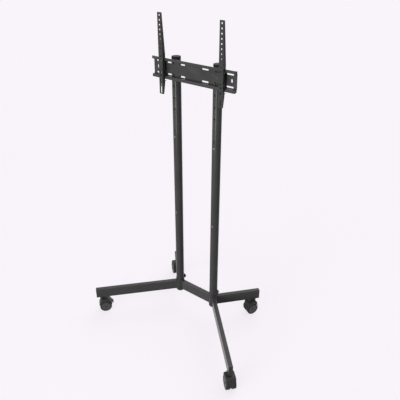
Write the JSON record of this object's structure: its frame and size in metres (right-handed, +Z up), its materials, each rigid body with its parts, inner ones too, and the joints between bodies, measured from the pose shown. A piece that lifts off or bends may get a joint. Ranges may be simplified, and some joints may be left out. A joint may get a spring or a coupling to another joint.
{
  "type": "mobile tv stand",
  "caption": "Mobile stand for a flat screen: tubular posts on splayed legs with swivel casters, carrying a slotted plate with sliding screen arms.",
  "frame": {"origin": "on the floor, midway between the two posts", "axes": "+X to the right as seen from the screen's side, +Y to the back, +Z up"},
  "size_m": [1.0828, 0.6898, 1.887],
  "materials": {
    "powder_coat": "semi-matte black powder coat",
    "inner_tube": "bare drawn steel",
    "fastener": "black oxide",
    "black_plastic": "moulded, fine texture",
    "wheel": "moulded, satin"
  },
  "bodies": {
    "frame": {"crossbar": "powder_coat", "socket_left": "powder_coat", "post_lower_left": "powder_coat", "post_middle_left": "powder_coat", "post_upper_left": "powder_coat", "sleeve_lower_left": "inner_tube", "sleeve_upper_left": "inner_tube", "sleeve_screw_lower_left": "fastener", "sleeve_screw_upper_left": "fastener", "post_cap_left": "black_plastic", "plate_bolt_upper_left": "fastener", "plate_bolt_lower_left": "fastener", "socket_right": "powder_coat", "post_lower_right": "powder_coat", "post_middle_right": "powder_coat", "post_upper_right": "powder_coat", "sleeve_lower_right": "inner_tube", "sleeve_upper_right": "inner_tube", "sleeve_screw_lower_right": "fastener", "sleeve_screw_upper_right": "fastener", "post_cap_right": "black_plastic", "plate_bolt_upper_right": "fastener", "plate_bolt_lower_right": "fastener", "leg_front_left": "powder_coat", "leg_cap_front_left": "black_plastic", "caster_stem_front_left": "fastener", "leg_front_right": "powder_coat", "leg_cap_front_right": "black_plastic", "caster_stem_front_right": "fastener", "leg_rear_left": "powder_coat", "leg_cap_rear_left": "black_plastic", "caster_stem_rear_left": "fastener", "leg_rear_right": "powder_coat", "leg_cap_rear_right": "black_plastic", "caster_stem_rear_right": "fastener", "screen_plate": "powder_coat"},
    "arm_left": {"arm_left": "powder_coat", "arm_lock_screw_left": "fastener"},
    "knob_left": {"base_knob_left": "black_plastic"},
    "arm_right": {"arm_right": "powder_coat", "arm_lock_screw_right": "fastener"},
    "knob_right": {"base_knob_right": "black_plastic"},
    "caster_front_left": {"caster_body_front_left": "black_plastic", "caster_axle_front_left": "fastener"},
    "wheel_front_left_1": {"caster_wheel_front_left_1": "wheel"},
    "wheel_front_left_2": {"caster_wheel_front_left_2": "wheel"},
    "pedal_front_left": {"brake_pedal_front_left": "black_plastic"},
    "caster_front_right": {"caster_body_front_right": "black_plastic", "caster_axle_front_right": "fastener"},
    "wheel_front_right_1": {"caster_wheel_front_right_1": "wheel"},
    "wheel_front_right_2": {"caster_wheel_front_right_2": "wheel"},
    "pedal_front_right": {"brake_pedal_front_right": "black_plastic"},
    "caster_rear_left": {"caster_body_rear_left": "black_plastic", "caster_axle_rear_left": "fastener"},
    "wheel_rear_left_1": {"caster_wheel_rear_left_1": "wheel"},
    "wheel_rear_left_2": {"caster_wheel_rear_left_2": "wheel"},
    "caster_rear_right": {"caster_body_rear_right": "black_plastic", "caster_axle_rear_right": "fastener"},
    "wheel_rear_right_1": {"caster_wheel_rear_right_1": "wheel"},
    "wheel_rear_right_2": {"caster_wheel_rear_right_2": "wheel"}
  },
  "joints": [
    {"name": "swivel_front_left", "type": "hinge", "parent": "frame", "child": "caster_front_left", "pos_m": [-0.49114, -0.3719, 0.098], "axis": [0, 0, 1], "continuous": true},
    {"name": "wheel_spin_front_left_1", "type": "hinge", "parent": "caster_front_left", "child": "wheel_front_left_1", "pos_m": [-0.47909, -0.35852, 0.038], "axis": [-0.7431, 0.6691, 0], "continuous": true},
    {"name": "wheel_spin_front_left_2", "type": "hinge", "parent": "caster_front_left", "child": "wheel_front_left_2", "pos_m": [-0.47909, -0.35852, 0.038], "axis": [-0.7431, 0.6691, 0], "continuous": true},
    {"name": "brake_press_front_left", "type": "hinge", "parent": "caster_front_left", "child": "pedal_front_left", "pos_m": [-0.46036, -0.33771, 0.076], "axis": [-0.7431, 0.6691, 0], "range_deg": [0, 10]},
    {"name": "swivel_front_right", "type": "hinge", "parent": "frame", "child": "caster_front_right", "pos_m": [0.49114, -0.3719, 0.098], "axis": [0, 0, 1], "continuous": true},
    {"name": "wheel_spin_front_right_1", "type": "hinge", "parent": "caster_front_right", "child": "wheel_front_right_1", "pos_m": [0.5043, -0.38417, 0.038], "axis": [0.682, 0.7314, 0], "continuous": true},
    {"name": "wheel_spin_front_right_2", "type": "hinge", "parent": "caster_front_right", "child": "wheel_front_right_2", "pos_m": [0.5043, -0.38417, 0.038], "axis": [0.682, 0.7314, 0], "continuous": true},
    {"name": "brake_press_front_right", "type": "hinge", "parent": "caster_front_right", "child": "pedal_front_right", "pos_m": [0.52478, -0.40327, 0.076], "axis": [0.682, 0.7314, 0], "range_deg": [0, 10]},
    {"name": "swivel_rear_left", "type": "hinge", "parent": "frame", "child": "caster_rear_left", "pos_m": [-0.31546, 0.19673, 0.098], "axis": [0, 0, 1], "continuous": true},
    {"name": "wheel_spin_rear_left_1", "type": "hinge", "parent": "caster_rear_left", "child": "wheel_rear_left_1", "pos_m": [-0.32964, 0.20782, 0.038], "axis": [-0.6157, -0.788, 0], "continuous": true},
    {"name": "wheel_spin_rear_left_2", "type": "hinge", "parent": "caster_rear_left", "child": "wheel_rear_left_2", "pos_m": [-0.32964, 0.20782, 0.038], "axis": [-0.6157, -0.788, 0], "continuous": true},
    {"name": "swivel_rear_right", "type": "hinge", "parent": "frame", "child": "caster_rear_right", "pos_m": [0.31546, 0.19673, 0.098], "axis": [0, 0, 1], "continuous": true},
    {"name": "wheel_spin_rear_right_1", "type": "hinge", "parent": "caster_rear_right", "child": "wheel_rear_right_1", "pos_m": [0.30757, 0.18056, 0.038], "axis": [0.8988, -0.4384, 0], "continuous": true},
    {"name": "wheel_spin_rear_right_2", "type": "hinge", "parent": "caster_rear_right", "child": "wheel_rear_right_2", "pos_m": [0.30757, 0.18056, 0.038], "axis": [0.8988, -0.4384, 0], "continuous": true},
    {"name": "arm_slide_left", "type": "slide", "parent": "frame", "child": "arm_left", "axis": [1, 0, 0], "range_m": [-0.056, 0.15]},
    {"name": "arm_slide_right", "type": "slide", "parent": "frame", "child": "arm_right", "axis": [1, 0, 0], "range_m": [-0.15, 0.056]},
    {"name": "knob_turn_left", "type": "hinge", "parent": "frame", "child": "knob_left", "pos_m": [-0.132, 0.041, 0.177], "axis": [0, 1, 0], "range_deg": [0, 1080]},
    {"name": "knob_turn_right", "type": "hinge", "parent": "frame", "child": "knob_right", "pos_m": [0.132, 0.041, 0.177], "axis": [0, 1, 0], "range_deg": [0, 1080]}
  ]
}
